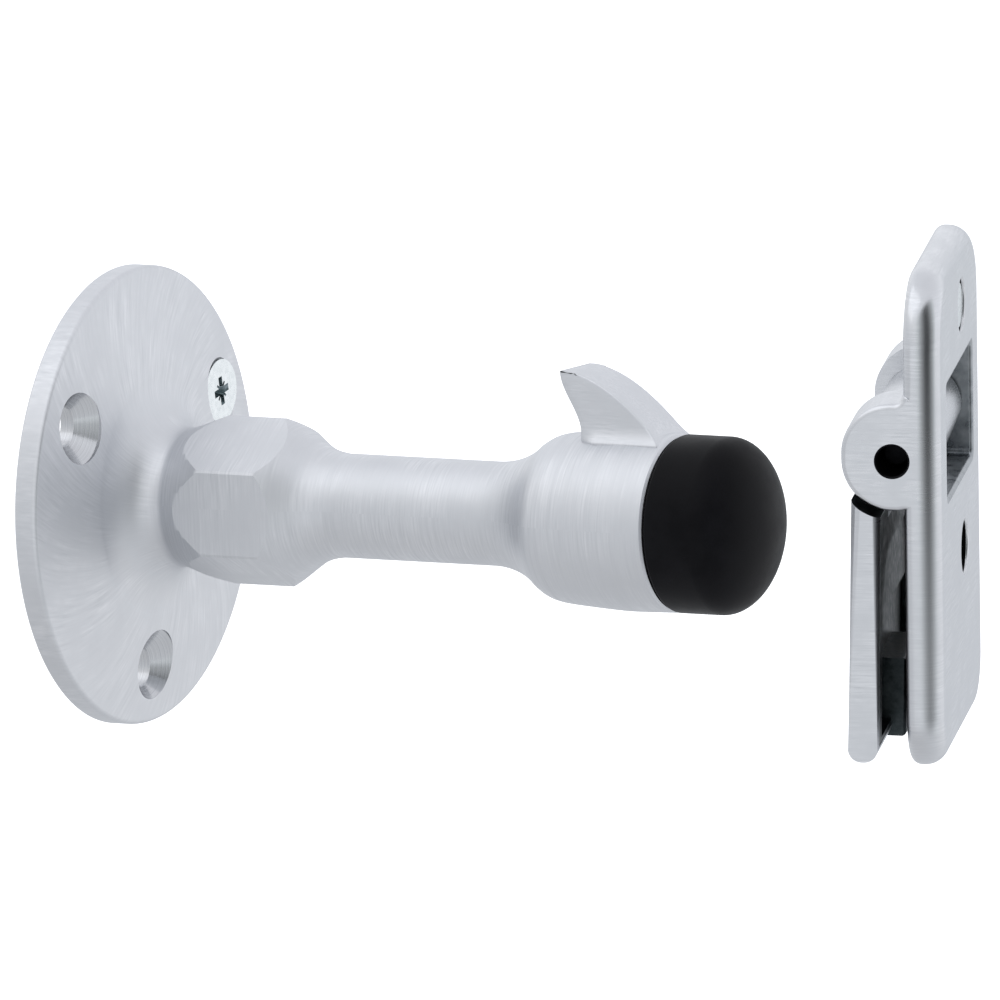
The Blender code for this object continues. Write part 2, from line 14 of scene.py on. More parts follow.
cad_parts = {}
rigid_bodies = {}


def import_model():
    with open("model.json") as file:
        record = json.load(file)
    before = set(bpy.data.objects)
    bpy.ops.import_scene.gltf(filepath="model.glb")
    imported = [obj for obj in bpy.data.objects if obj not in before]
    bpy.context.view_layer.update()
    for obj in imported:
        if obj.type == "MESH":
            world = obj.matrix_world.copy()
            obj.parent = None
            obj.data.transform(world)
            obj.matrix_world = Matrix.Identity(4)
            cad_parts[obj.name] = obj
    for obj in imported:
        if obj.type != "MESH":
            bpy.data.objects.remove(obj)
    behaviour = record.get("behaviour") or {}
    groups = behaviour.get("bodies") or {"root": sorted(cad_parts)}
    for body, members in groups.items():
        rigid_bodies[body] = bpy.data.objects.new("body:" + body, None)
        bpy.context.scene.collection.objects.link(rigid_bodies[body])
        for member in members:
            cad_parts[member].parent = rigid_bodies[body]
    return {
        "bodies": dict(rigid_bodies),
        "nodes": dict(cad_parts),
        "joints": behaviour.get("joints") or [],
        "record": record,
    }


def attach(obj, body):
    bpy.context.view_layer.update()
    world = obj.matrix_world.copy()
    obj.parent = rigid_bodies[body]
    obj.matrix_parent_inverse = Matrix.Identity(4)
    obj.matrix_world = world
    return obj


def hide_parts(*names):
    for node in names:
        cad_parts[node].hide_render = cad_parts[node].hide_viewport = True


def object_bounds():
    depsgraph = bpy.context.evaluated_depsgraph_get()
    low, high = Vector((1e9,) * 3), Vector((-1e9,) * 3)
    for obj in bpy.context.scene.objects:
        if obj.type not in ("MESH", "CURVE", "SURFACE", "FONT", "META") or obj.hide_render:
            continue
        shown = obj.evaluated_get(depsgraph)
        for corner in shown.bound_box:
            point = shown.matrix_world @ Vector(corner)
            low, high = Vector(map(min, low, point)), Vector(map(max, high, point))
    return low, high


# GAP is the clearance between pieces and the ease of small edges, and MARGIN is how far a cutter
# passes the face that it cuts. The hook's edges are rounded above the first angle, and a piece is
# shaded with a crease above the second.
MM = 0.001
WELD = 0.0005 * MM
GAP = 0.3 * MM
MARGIN = 1.0 * MM
FINE_SIDES = 192
ROUND_SIDES = 64
ROUNDED_ABOVE = math.radians(40.0)
SHARP_ABOVE = math.radians(28.0)

# Wall flange and its holes. The neck's fillet is an ellipse: NECK_FILLET along the stop and
# NECK_SPREAD outwards.
FLANGE_RADIUS = 31.75 * MM
FLANGE_RIM = 3.45 * MM
FLANGE_EDGE_ROUND = 0.7 * MM
FLANGE_CROWN = 5.44 * MM
NECK_FILLET = 5.36 * MM
NECK_SPREAD = 7.5 * MM
NECK_RADIUS = 9.6 * MM
NECK_START = FLANGE_CROWN + NECK_FILLET
HOLE_CIRCLE_RADIUS = 24.0 * MM
HOLE_ANGLES = (150.0, 30.0, -90.0)
SCREWED_HOLE_ANGLE = 30.0
HOLE_RADIUS = 2.9 * MM
SINK_RADIUS = 5.25 * MM
SINK_TOP = 4.75 * MM
SINK_HALF_ANGLE = math.radians(41.0)

# Collar, shank and head. The curves are (distance from the wall, radius) points.
COLLAR_RADIUS = 11.8 * MM
COLLAR_START = 17.1 * MM
COLLAR_END = 26.1 * MM
HEX_APOTHEM = 10.32 * MM
HEX_START = 10.9 * MM
HEX_FINISH = 31.5 * MM
HEX_CORNER_ANGLE = 93.9
SHANK_RADIUS = 7.2 * MM
SHANK_START = 35.0 * MM
SHANK_RING_SPACING = 4.0 * MM
FLARE_START = 58.5 * MM
FLARE_RADIUS = 12.7 * MM
FLARE_SWEEP = 42.0
HEAD_RADIUS = 12.4 * MM
HEAD_FACE = 87.1 * MM
NECK_TO_COLLAR = (
    (NECK_START, NECK_RADIUS),
    (13.1 * MM, 10.3 * MM),
    (COLLAR_START, COLLAR_RADIUS),
)
COLLAR_TO_SHANK = (
    (COLLAR_END, COLLAR_RADIUS),
    (27.4 * MM, 10.9 * MM),
    (29.1 * MM, 9.65 * MM),
    (31.1 * MM, 8.3 * MM),
    (33.0 * MM, 7.55 * MM),
    (SHANK_START, SHANK_RADIUS),
)
FLARE_TO_HEAD = (
    (68.2 * MM, 11.2 * MM),
    (69.6 * MM, 11.65 * MM),
    (72.0 * MM, 11.95 * MM),
    (79.0 * MM, HEAD_RADIUS),
    (83.0 * MM, HEAD_RADIUS),
)

# Rubber bumper.
BUMPER_RADIUS = 12.3 * MM
BUMPER_SIDE_END = 94.0 * MM
BUMPER_TIP = 100.8 * MM
BUMPER_BACK_ROUND = 0.45 * MM
STEM_RADIUS = 6.0 * MM
STEM_LENGTH = 10.0 * MM

# Hook.
HOOK_WIDTH = 9.0 * MM
HOOK_TOP = 20.9 * MM
HOOK_TIP_BACK = 70.8 * MM
HOOK_TIP_FRONT = 71.3 * MM
HOOK_ROOT_BACK = 73.96 * MM
HOOK_ROOT_HEIGHT = 12.5 * MM
HOOK_SIDE_FILLET = 3.5 * MM
HOOK_FLARE_LENGTH = 2.5 * MM
HOOK_EDGE_ROUND = 0.22 * MM
HOOK_SUNK_DEPTH = 4.5 * MM
HOOK_SUNK_WIDTH = 0.7
HOOK_SLICES = 44
RAMP_POWER = 1.75
RAMP_DROP_AT_10_MM = 4.75 * MM
RAMP_LENGTH = 15.0 * MM

# Screws. A recess is a cross: its reach from the middle, its half width and its turn in degrees.
SCREW_HEAD_RADIUS = 4.42 * MM
SCREW_CORE_RADIUS = 1.65 * MM
SCREW_THREAD_RADIUS = 2.3 * MM
SCREW_REACH = 25.0 * MM
SCREW_POINT = 5.0 * MM
SCREW_TIP_START = 0.05 * MM
SCREW_TIP_BLUNTNESS = 0.05
SCREW_TOP_RISE = 0.1 * MM
SCREW_TOP_EDGE = (0.03 * MM, 0.12 * MM)
THREAD_PITCH = 1.8 * MM
THREAD_STEPS = 12
THREAD_END = -4.0 * MM
THREAD_FADE = 3.0 * MM
RIDGE_HALF_WIDTH = 0.32
RIDGE_POWER = 1.3
RECESS_DEPTH = 1.7 * MM
RECESS_TAPER = ((0.5 * MM, 1.0), (0.0, 1.0), (-RECESS_DEPTH * 0.6, 0.72), (-RECESS_DEPTH, 0.4))
WALL_SCREW_RECESSES = ((2.0 * MM, 0.5 * MM, 12.0), (1.5 * MM, 0.18 * MM, 57.0))
PLATE_SCREW_RECESS = (2.2 * MM, 0.55 * MM, 0.0)

# Keeper plate, kept just inside the box of the solids.
KEEPER_WIDTH = 44.0 * MM
PLATE_FRONT = 1.5 * MM
PLATE_BACK = 6.47 * MM
PLATE_TOP = 24.83 * MM
PLATE_BOTTOM = -43.9 * MM
PLATE_TOP_CORNER = 10.0 * MM
PLATE_BOTTOM_CORNER = 8.0 * MM
PLATE_BACK_ROUND = 3.1 * MM
PLATE_FRONT_ROUND = 1.4 * MM
EAR_RADIUS = 7.0 * MM
EAR_RISE = 0.9 * MM
EAR_FILLET = 1.2 * MM
EAR_RIM_ROUND = 0.8 * MM
EAR_GAP = 27.2 * MM
WINDOW_TOP = 8.5 * MM
WINDOW_BOTTOM = -7.4 * MM
WINDOW_RIM_ROUND = 0.6 * MM
WINDOW_CORNER = 0.9 * MM
PLATE_HOLE_RADIUS = 3.6 * MM
PLATE_HOLES = ((3.0 * MM, 16.0 * MM), (3.9 * MM, -17.9 * MM))
PLATE_SINK_RADIUS = 5.4 * MM
HOLE_RIM_ROUND = 0.35 * MM

# Hinge pin and catch flap.
PIN_RADIUS = 1.8 * MM
PIN_LENGTH = 34.0 * MM
PIN_HOLE_RADIUS = 2.1 * MM
FLAP_REST_TILT = math.radians(1.1)
FLAP_FRONT = -5.7 * MM
FLAP_BACK = -1.6 * MM
FLAP_BOTTOM = -42.2 * MM
FLAP_FRONT_ROUND = 1.7 * MM
FLAP_BACK_ROUND = 1.3 * MM
FLAP_FOOT_ROUND = 1.9 * MM
FLAP_TOP_RADIUS = 8.2 * MM
KNUCKLE_RADIUS = 5.0 * MM
KNUCKLE_WIDTH = 26.6 * MM
KNUCKLE_SWEEP_STEPS = 18
WEB_CORNER = (2.9 * MM, -6.2 * MM)
WEB_FOOT = -10.0 * MM
POCKET_HALF_WIDTH = 17.5 * MM
POCKET_TOP = -14.0 * MM
POCKET_STEP = -24.5 * MM
POCKET_BOTTOM = -39.6 * MM
POCKET_CORNER = 8.7 * MM
POCKET_DEPTH = 1.2 * MM
LOWER_POCKET_DEPTH = 1.9 * MM
# The flap's back is cut this little only so that it takes painted shade.
FLAP_BACK_DEPTH = 0.05 * MM
PAD_HALF_WIDTH = 7.4 * MM
PAD_TOP = -31.0 * MM
PAD_PROUD = 2.0 * MM
PAD_ROUND = 0.5 * MM

# Camera: where it looks from, and the width and middle of what it sees.
VIEW_AZIMUTH = math.radians(28.1)
VIEW_ELEVATION = math.radians(7.5)
VIEW_ROLL = math.radians(0.93)
VIEW_WIDTH = 137.0 * MM
VIEW_CENTRE = (51.94 * MM, -0.89 * MM, 50.0 * MM)
LENS = 1600.0
SENSOR = 36.0
CLIP = (0.1, 100.0)

# Studio: its brightness changes along this slope, with soft patches at a direction, from an inner to
# an outer angle in degrees.
STUDIO_SLOPE = (0.25, 0.45, 1.0)
STUDIO_REACH = 1.1
STUDIO_LEVELS = (
    (0.00, (0.70, 0.71, 0.73)),
    (0.28, (0.78, 0.80, 0.83)),
    (0.55, (0.97, 0.98, 1.00)),
    (0.75, (1.05, 1.07, 1.11)),
    (1.00, (0.92, 0.93, 0.97)),
)
STUDIO_PATCHES = (
    ((0.12, -0.92, -0.36), 8.0, 24.0, (0.92, 0.94, 0.97)),
    ((-0.30, 0.94, -0.15), 10.0, 34.0, (0.72, 0.75, 0.79)),
)

# A tall card beside the keeper, which only reflections show: dark in its middle, and paler towards
# its sides and its foot. The spans are in millimetres from its centre.
CARD_SIZE = (0.26, 0.29)
CARD_PLACE = (0.25, -0.085, 0.03)
CARD_FACES = (0.15, -0.045, 0.03)
CARD_DARK = 0.06
CARD_PALE = 0.85
CARD_SIDE_SPAN = (15.0, 115.0)
CARD_FOOT_SPAN = (-40.0, -120.0)
CARD_FOOT_RISE = 0.40
CARD_TINT = (0.94, 0.98, 1.0)

SOFTBOX_SIZE = (1.1, 0.9)
SOFTBOX_POWER = 0.9
SOFTBOX_PLACE = (-0.2, -0.5, 0.9)
SOFTBOX_FACES = (0.05, 0.0, 0.0)
FLOOR_SIZE = 16.0
FLOOR_DROP = 0.04
FLOOR_GLOW = 0.55

# Finishes. Tints are dark and light, and the dark metal is the rougher. The stop's roughness is its
# least and its most; the keeper's is at its foot and at its top, over a span of heights. Noise scales
# are per millimetre, or per radian round the stop, and the other spans are in millimetres too.
# MARKED_PATCHES is the brush marks' least and most strength, and the noise levels of each.
NO_MARK = 0.5
MARK_SHARE = 0.75
MARK_DEPTH = 0.03 * MM
MARK_STRENGTH = 0.45
MARKED_PATCHES = (0.15, 1.0, 0.42, 0.62)
STOP_TINTS = ((0.585, 0.60, 0.625), (0.73, 0.74, 0.765))
STOP_ROUGHNESS = (0.40, 0.52)
MARKS_ROUND_ROD = (3.6, 1.2, 0.3)
MARKS_ACROSS_FLANGE = (48.0, 0.16, 0.3)
MARKS_ALONG_HOOK = (0.35, 3.0, 4.0)
FLANGE_MARKS_SWIRL = 0.02
FLANGE_MARKS_END = (8.0, 11.0)
HOOK_MARKS_START = (12.35, 12.9)
STOP_CLOUD = (0.13, 0.13, 0.13)
KEEPER_TINTS = ((0.55, 0.565, 0.59), (0.72, 0.73, 0.755))
KEEPER_ROUGHNESS = (0.30, 0.16)
KEEPER_GLOSS_SPAN = (-25.0, 16.0)
KEEPER_ROUGHER_MARKS = 0.12
MARKS_ACROSS_KEEPER = (0.25, 0.2, 4.6)
KEEPER_CLOUD = (0.2, 0.15, 0.2)
TURNING_MARKS = (9.0, 0.0, 0.0)
RUBBER_GRAIN = (7.0, 7.0, 7.0)
RUBBER_BLOOM = (0.2, 0.2, 0.2)

# ---------------------------------------------------------------- mesh tools


def arc(centre, radius, start, end, steps):
    angles = [math.radians(start + (end - start) * step / steps) for step in range(steps + 1)]
    return [(centre[0] + radius * math.cos(a), centre[1] + radius * math.sin(a)) for a in angles]


def smoothstep(value):
    t = min(max(value, 0.0), 1.0)
    return t * t * (3.0 - 2.0 * t)


def flowing(points, steps):
    """A smooth curve through a few points, as a Catmull-Rom spline."""
    padded = [points[0], *points, points[-1]]
    curve = [points[0]]
    for p0, p1, p2, p3 in zip(padded, padded[1:], padded[2:], padded[3:]):
        for step in range(1, steps + 1):
            t = step / steps
            weights = (
                -0.5 * t + t**2 - 0.5 * t**3,
                1.0 - 2.5 * t**2 + 1.5 * t**3,
                0.5 * t + 2.0 * t**2 - 1.5 * t**3,
                -0.5 * t**2 + 0.5 * t**3,
            )
            quad = (p0, p1, p2, p3)
            curve.append(tuple(sum(w * p[i] for w, p in zip(weights, quad)) for i in (0, 1)))
    return curve


def turned(profile, sides):
    """A solid of revolution about X, from (x, radius) points that begin and end on the axis."""
    shape = bmesh.new()
    points = [shape.verts.new((x, radius, 0.0)) for x, radius in profile]
    edges = [shape.edges.new(pair) for pair in zip(points, points[1:])]
    bmesh.ops.spin(
        shape, geom=points + edges, cent=(0, 0, 0), axis=(1, 0, 0), angle=math.tau, steps=sides
    )
    bmesh.ops.remove_doubles(shape, verts=shape.verts, dist=WELD)
    bmesh.ops.recalc_face_normals(shape, faces=shape.faces)
    return shape


def prism(outline, along):
    shape = bmesh.new()
    base = shape.faces.new([shape.verts.new(corner) for corner in outline])
    swept = bmesh.ops.extrude_face_region(shape, geom=[base])["geom"]
    moved = [item for item in swept if isinstance(item, bmesh.types.BMVert)]
    bmesh.ops.translate(shape, verts=moved, vec=along)
    bmesh.ops.recalc_face_normals(shape, faces=shape.faces)
    return shape


def loft(rings):
    shape = bmesh.new()
    loops = [[shape.verts.new(corner) for corner in ring] for ring in rings]
    for lower, upper in zip(loops, loops[1:]):
        for index in range(len(lower)):
            after = (index + 1) % len(lower)
            shape.faces.new((lower[index], lower[after], upper[after], upper[index]))
    shape.faces.new(loops[0])
    shape.faces.new(loops[-1])
    bmesh.ops.recalc_face_normals(shape, faces=shape.faces)
    return shape


def round_edges(shape, chosen, width, segments):
    edges = [edge for edge in shape.edges if chosen(edge)]
    bmesh.ops.bevel(
        shape, geom=edges, offset=width, segments=segments, profile=0.5, affect="EDGES"
    )
    bmesh.ops.recalc_face_normals(shape, faces=shape.faces)


def in_plane(edge, axis, value):
    return all(abs(vert.co[axis] - value) < WELD for vert in edge.verts)


def creased(edge):
    return len(edge.link_faces) == 2 and edge.calc_face_angle() > ROUNDED_ABOVE


def along_pin(shape):
    """Lays a shape turned about X along the pin, which is the keeper's y axis."""
    for vert in shape.verts:
        vert.co = Vector((-vert.co.y, vert.co.x, vert.co.z))
    return shape


def rim_steps(radius, steps):
    """(depth below a face, growth) pairs that round a cutter's rim outwards up to the face."""
    quarter = [math.pi / 2 * step / steps for step in range(steps + 1)]
    return [(radius * (1 - math.sin(a)), radius * (1 - math.cos(a))) for a in quarter]


# ---------------------------------------------------------------- pieces


def add_mesh(name, shape, matrix, material):
    mesh = bpy.data.meshes.new(name)
    shape.to_mesh(mesh)
    shape.free()
    mesh.materials.append(material)
    thing = bpy.data.objects.new(name, mesh)
    thing.matrix_world = matrix
    bpy.context.scene.collection.objects.link(thing)
    return thing


def combine(piece, shape, operation, material, place=(0, 0, 0)):
    """Joins a helper solid to a piece, or cuts it away; the new faces take the material given."""
    matrix = piece.matrix_world @ Matrix.Translation(place)
    helper = add_mesh(piece.name + "_helper", shape, matrix, material)
    boolean = piece.modifiers.new(helper.name, "BOOLEAN")
    boolean.operation = operation
    boolean.object = helper
    boolean.material_mode = "TRANSFER"


def finish_piece(piece, body, node):
    """Applies the cuts, removes the helpers, shades the piece and puts it in the CAD node's place."""
    bpy.context.view_layer.update()
    graph = bpy.context.evaluated_depsgraph_get()
    mesh = bpy.data.meshes.new_from_object(piece.evaluated_get(graph))
    helpers = [modifier.object for modifier in piece.modifiers]
    piece.modifiers.clear()
    mesh.transform(piece.matrix_world)
    piece.matrix_world = Matrix()
    piece.data = mesh
    for helper in helpers:
        bpy.data.objects.remove(helper)
    mesh.shade_smooth()
    mesh.set_sharp_from_angle(angle=SHARP_ABOVE)
    normals = piece.modifiers.new("even_shading", "WEIGHTED_NORMAL")
    normals.keep_sharp = True
    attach(piece, body)
    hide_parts(node)


def on_hole_circle(angle):
    turn = math.radians(angle)
    return (0.0, HOLE_CIRCLE_RADIUS * math.cos(turn), HOLE_CIRCLE_RADIUS * math.sin(turn))


def stop_profile():
    rim = FLANGE_RIM - FLANGE_EDGE_ROUND
    edge = (rim, FLANGE_RADIUS - FLANGE_EDGE_ROUND)
    flare = (FLARE_START, SHANK_RADIUS + FLARE_RADIUS)
    profile = [(0.0, 0.0), (0.0, FLANGE_RADIUS - GAP), (GAP, FLANGE_RADIUS)]
    profile += arc(edge, FLANGE_EDGE_ROUND, 90, 8, 8)
    face_start = profile[-1]
    face_end = (FLANGE_CROWN, NECK_RADIUS + NECK_SPREAD)
    face_rings = 6
    for ring in range(1, face_rings):
        t = ring / face_rings
        profile.append(tuple(a + (b - a) * t for a, b in zip(face_start, face_end)))
    for along, out in arc((1.0, 1.0), 1.0, 180, 270, 20):
        profile.append((FLANGE_CROWN + NECK_FILLET * along, NECK_RADIUS + NECK_SPREAD * out))
    profile += flowing(NECK_TO_COLLAR, 4)[1:]
    profile += flowing(COLLAR_TO_SHANK, 5)
    for ring in range(1, 6):
        profile.append((SHANK_START + ring * SHANK_RING_SPACING, SHANK_RADIUS))
    profile += arc(flare, FLARE_RADIUS, -90, -90 + FLARE_SWEEP, 22)
    profile += flowing((profile[-1], *FLARE_TO_HEAD), 5)[1:]
    profile += [(HEAD_FACE - GAP, BUMPER_RADIUS), (HEAD_FACE, BUMPER_RADIUS - GAP)]
    profile += [(HEAD_FACE, 0.0)]
    return profile


def hexagon(x, apothem):
    corners = arc((0.0, 0.0), apothem / math.cos(math.pi / 6), 0, 300, 5)
    turn = math.radians(HEX_CORNER_ANGLE)
    return [
        (x, y * math.cos(turn) - z * math.sin(turn), y * math.sin(turn) + z * math.cos(turn))
        for y, z in corners
    ]


def hexagon_flats():
    """A ring with a hexagonal hole: what it takes away leaves the collar's six flats."""
    shape = bmesh.new()
    outer = COLLAR_RADIUS + 2 * MARGIN
    ends = (
        (HEX_START, HEX_APOTHEM),
        (HEX_START, outer),
        (HEX_FINISH, outer),
        (HEX_FINISH, HEX_APOTHEM),
    )
    rings = [[shape.verts.new(corner) for corner in hexagon(x, size)] for x, size in ends]
    for ring, following in zip(rings, rings[1:] + rings[:1]):
        for index in range(6):
            after = (index + 1) % 6
            shape.faces.new((ring[index], ring[after], following[after], following[index]))
    bmesh.ops.recalc_face_normals(shape, faces=shape.faces)
    return shape


def hook_half_width(height):
    half = HOOK_WIDTH / 2
    reach = HEAD_RADIUS + HOOK_SIDE_FILLET
    centre = math.sqrt(reach**2 - (half + HOOK_SIDE_FILLET) ** 2)
    root = centre * HEAD_RADIUS / reach
    drop = centre - max(height, root)
    if drop <= 0.0:
        return half
    return half + HOOK_SIDE_FILLET - math.sqrt(HOOK_SIDE_FILLET**2 - drop**2)


def hook_shape():
    """The hook as level slices: an upright back that leans over at the tip, and a rounded ramp."""
    rings = []
    lean = HOOK_ROOT_BACK - HOOK_TIP_BACK
    for step in range(HOOK_SLICES + 1):
        along = RAMP_LENGTH * step / HOOK_SLICES
        drop = RAMP_DROP_AT_10_MM * (along / (10.0 * MM)) ** RAMP_POWER
        height = HOOK_TOP - drop
        risen = (height - HOOK_ROOT_HEIGHT) / (HOOK_TOP - HOOK_ROOT_HEIGHT)
        back = HOOK_ROOT_BACK - lean * smoothstep(risen)
        front = HOOK_TIP_FRONT + along
        half = hook_half_width(height)
        flare_end = min(back + HOOK_FLARE_LENGTH, front)
        middle = (back + flare_end) / 2
        plan = [(back, HOOK_WIDTH / 2), (middle, (HOOK_WIDTH / 2 + half) / 2)]
        plan += [(flare_end, half), (front, half)]
        ring = [(x, -y, height) for x, y in plan]
        rings.append(ring + [(x, y, height) for x, y in reversed(plan)])
    sunk = HEAD_RADIUS - HOOK_SUNK_DEPTH
    rings.append([(x, y * HOOK_SUNK_WIDTH, sunk) for x, y, _ in rings[-1]])
    shape = loft(rings)
    round_edges(shape, creased, HOOK_EDGE_ROUND, 3)
    return shape


def countersink_cutter():
    """The through hole, an 82 degree cone and a short bore above it, along X."""
    cone = (SINK_RADIUS - HOLE_RADIUS) / math.tan(SINK_HALF_ANGLE)
    top = FLANGE_CROWN + 2 * MARGIN
    profile = [(-MARGIN, 0.0), (-MARGIN, HOLE_RADIUS), (SINK_TOP - cone, HOLE_RADIUS)]
    profile += [(SINK_TOP, SINK_RADIUS), (top, SINK_RADIUS), (top, 0.0)]
    return turned(profile, ROUND_SIDES)


def build_stop(chrome, machined):
    stop = add_mesh("stop_casting", turned(stop_profile(), FINE_SIDES), Matrix(), chrome)
    combine(stop, hexagon_flats(), "DIFFERENCE", chrome)
    combine(stop, hook_shape(), "UNION", chrome)
    for angle in HOLE_ANGLES:
        combine(stop, countersink_cutter(), "DIFFERENCE", machined, on_hole_circle(angle))
    socket_end = HEAD_FACE - STEM_LENGTH - GAP
    socket = [(socket_end, 0.0), (socket_end, STEM_RADIUS + GAP)]
    socket += [(HEAD_FACE + MARGIN, STEM_RADIUS + GAP), (HEAD_FACE + MARGIN, 0.0)]
    combine(stop, turned(socket, ROUND_SIDES), "DIFFERENCE", machined)
    finish_piece(stop, "wall_stop", "stop_body")


def build_bumper(rubber):
    back = HEAD_FACE + GAP
    rounding = BUMPER_BACK_ROUND
    profile = [(back - STEM_LENGTH, 0.0), (back - STEM_LENGTH, STEM_RADIUS), (back, STEM_RADIUS)]
    profile += arc((back + rounding, BUMPER_RADIUS - rounding), rounding, 180, 90, 6)
    dome = BUMPER_TIP - BUMPER_SIDE_END
    for x, y in arc((0.0, 0.0), 1.0, 90, 0, 40):
        profile.append((BUMPER_SIDE_END + dome * x, BUMPER_RADIUS * y))
    profile[-1] = (BUMPER_TIP, 0.0)
    bumper = add_mesh("bumper_cap", turned(profile, FINE_SIDES), Matrix(), rubber)
    finish_piece(bumper, "wall_stop", "rubber_bumper")


def screw_thread(cone_end):
    """Rings of a pointed wood-screw thread along X, from its tip up to the head's cone."""
    rings = []
    tip = SCREW_TIP_START - SCREW_REACH
    steps = int((cone_end + SCREW_REACH) / THREAD_PITCH * THREAD_STEPS)
    for step in range(steps + 1):
        x = tip + (cone_end - tip) * step / steps
        past_tip = (x + SCREW_REACH) / SCREW_POINT
        taper = smoothstep(SCREW_TIP_BLUNTNESS + (1.0 - 2.0 * SCREW_TIP_BLUNTNESS) * past_tip)
        fade = 1.0 - smoothstep((x - THREAD_END) / THREAD_FADE)
        ring = []
        for side in range(ROUND_SIDES):
            angle = math.tau * side / ROUND_SIDES
            phase = (x / THREAD_PITCH - side / ROUND_SIDES) % 1.0
            ridge = max(0.0, 1.0 - abs(phase - 0.5) / RIDGE_HALF_WIDTH) ** RIDGE_POWER * fade
            radius = (SCREW_CORE_RADIUS + (SCREW_THREAD_RADIUS - SCREW_CORE_RADIUS) * ridge) * taper
            ring.append((x, radius * math.cos(angle), radius * math.sin(angle)))
        rings.append(ring)
    return rings


def cross_recess(top, reach, arm, turn):
    """A tapered cross cut from a screw head's top, turned about the screw's axis."""
    outline = [(-arm, -arm), (-arm, -reach), (arm, -reach), (arm, -arm), (reach, -arm), (reach, arm)]
    outline += [(-y, -z) for y, z in outline]
    shape = loft([[(top + x, y * size, z * size) for y, z in outline] for x, size in RECESS_TAPER])
    spin = Matrix.Rotation(math.radians(turn), 3, "X")
    bmesh.ops.rotate(shape, verts=shape.verts, cent=(0, 0, 0), matrix=spin)
    return shape


def build_wall_screw(zinc, dark):
    slope = math.tan(SINK_HALF_ANGLE)
    lift = GAP / math.sin(SINK_HALF_ANGLE)
    head_edge = SINK_TOP - (SINK_RADIUS - SCREW_HEAD_RADIUS) / slope + lift
    cone_end = head_edge - (SCREW_HEAD_RADIUS - SCREW_CORE_RADIUS) / slope
    top = head_edge + SCREW_TOP_RISE
    drop, inset = SCREW_TOP_EDGE
    rings = screw_thread(cone_end)
    head = [(head_edge, SCREW_HEAD_RADIUS), (top - drop, SCREW_HEAD_RADIUS)]
    head.append((top, SCREW_HEAD_RADIUS - inset))
    for x, radius in head:
        circle = arc((0.0, 0.0), radius, 0, 360, ROUND_SIDES)[:-1]
        rings.append([(x, y, z) for y, z in circle])
    place = Matrix.Translation(on_hole_circle(SCREWED_HOLE_ANGLE))
    screw = add_mesh("flange_screw", loft(rings), place, zinc)
    for reach, arm, turn in WALL_SCREW_RECESSES:
        # The recess's faces take dark, zinc with painted shade.
        combine(screw, cross_recess(top, reach, arm, turn), "DIFFERENCE", dark)
    finish_piece(screw, "wall_stop", "wall_screw")


# ---------------------------------------------------------------- keeper


def keeper_frame(frame):
    """The keeper's own frame, from its hinge joint and the mount on the plate's back."""
    hinge = next(joint for joint in frame["joints"] if joint["name"] == "catch_hinge")
    back = next(mount for mount in frame["record"]["mounts"] if mount["name"] == "door_face")
    x = Vector(back["axis"]).normalized()
    y = Vector(hinge["axis"]).normalized()
    matrix = Matrix((x, y, x.cross(y))).transposed().to_4x4()
    matrix.translation = hinge["pos_m"]
    return matrix


def plate_outline(x):
    half = KEEPER_WIDTH / 2
    low = half - PLATE_BOTTOM_CORNER
    high = half - PLATE_TOP_CORNER
    foot = PLATE_BOTTOM + PLATE_BOTTOM_CORNER
    head = PLATE_TOP - PLATE_TOP_CORNER
    outline = arc((low, foot), PLATE_BOTTOM_CORNER, -90, 0, 24)
    outline += arc((high, head), PLATE_TOP_CORNER, 0, 90, 24)
    outline += arc((-high, head), PLATE_TOP_CORNER, 90, 180, 24)
    outline += arc((-low, foot), PLATE_BOTTOM_CORNER, 180, 270, 24)
    return [(x, y, z) for y, z in outline]


def ear_shape(start, outer):
    """One hinge ear, with a rounded rim on its outer side."""
    inside = PLATE_FRONT + 2 * MARGIN
    fillet_x = PLATE_FRONT - EAR_FILLET
    rise = math.sqrt((EAR_RADIUS + EAR_FILLET) ** 2 - fillet_x**2)
    fillet_z = EAR_RISE + rise
    lean = math.degrees(math.atan2(rise, fillet_x))
    low = math.degrees(math.acos(PLATE_FRONT / EAR_RADIUS))
    outline = [(inside, -EAR_RADIUS * math.sin(math.radians(low)))]
    outline.append((inside, fillet_z))
    outline += arc((fillet_x, fillet_z), EAR_FILLET, 0, lean - 180, 10)
    outline += arc((0.0, EAR_RISE), EAR_RADIUS, lean, 180, 26)[1:]
    outline += arc((0.0, 0.0), EAR_RADIUS, 180, 360 - low, 26)
    thickness = (KEEPER_WIDTH - EAR_GAP) / 2
    shape = prism([(x, start, z) for x, z in outline], (0, thickness, 0))

    def outer_rim(edge):
        return in_plane(edge, 1, outer) and not in_plane(edge, 0, inside)

    round_edges(shape, outer_rim, EAR_RIM_ROUND, 5)
    return shape


def window_cutter():
    """The opening that the flap's knuckle turns in, its corners and its back rim rounded."""
    steps = [(PLATE_BACK - PLATE_FRONT + MARGIN, 0.0)] + rim_steps(WINDOW_RIM_ROUND, 6)
    steps.append((-MARGIN, WINDOW_RIM_ROUND))
    wide = EAR_GAP / 2 - WINDOW_CORNER
    low, high = WINDOW_BOTTOM + WINDOW_CORNER, WINDOW_TOP - WINDOW_CORNER
    rings = []
    for depth, grow in steps:
        radius = WINDOW_CORNER + grow
        outline = arc((wide, low), radius, -90, 0, 6) + arc((wide, high), radius, 0, 90, 6)
        outline += arc((-wide, high), radius, 90, 180, 6) + arc((-wide, low), radius, 180, 270, 6)
        rings.append([(PLATE_BACK - depth, y, z) for y, z in outline])
    return loft(rings)


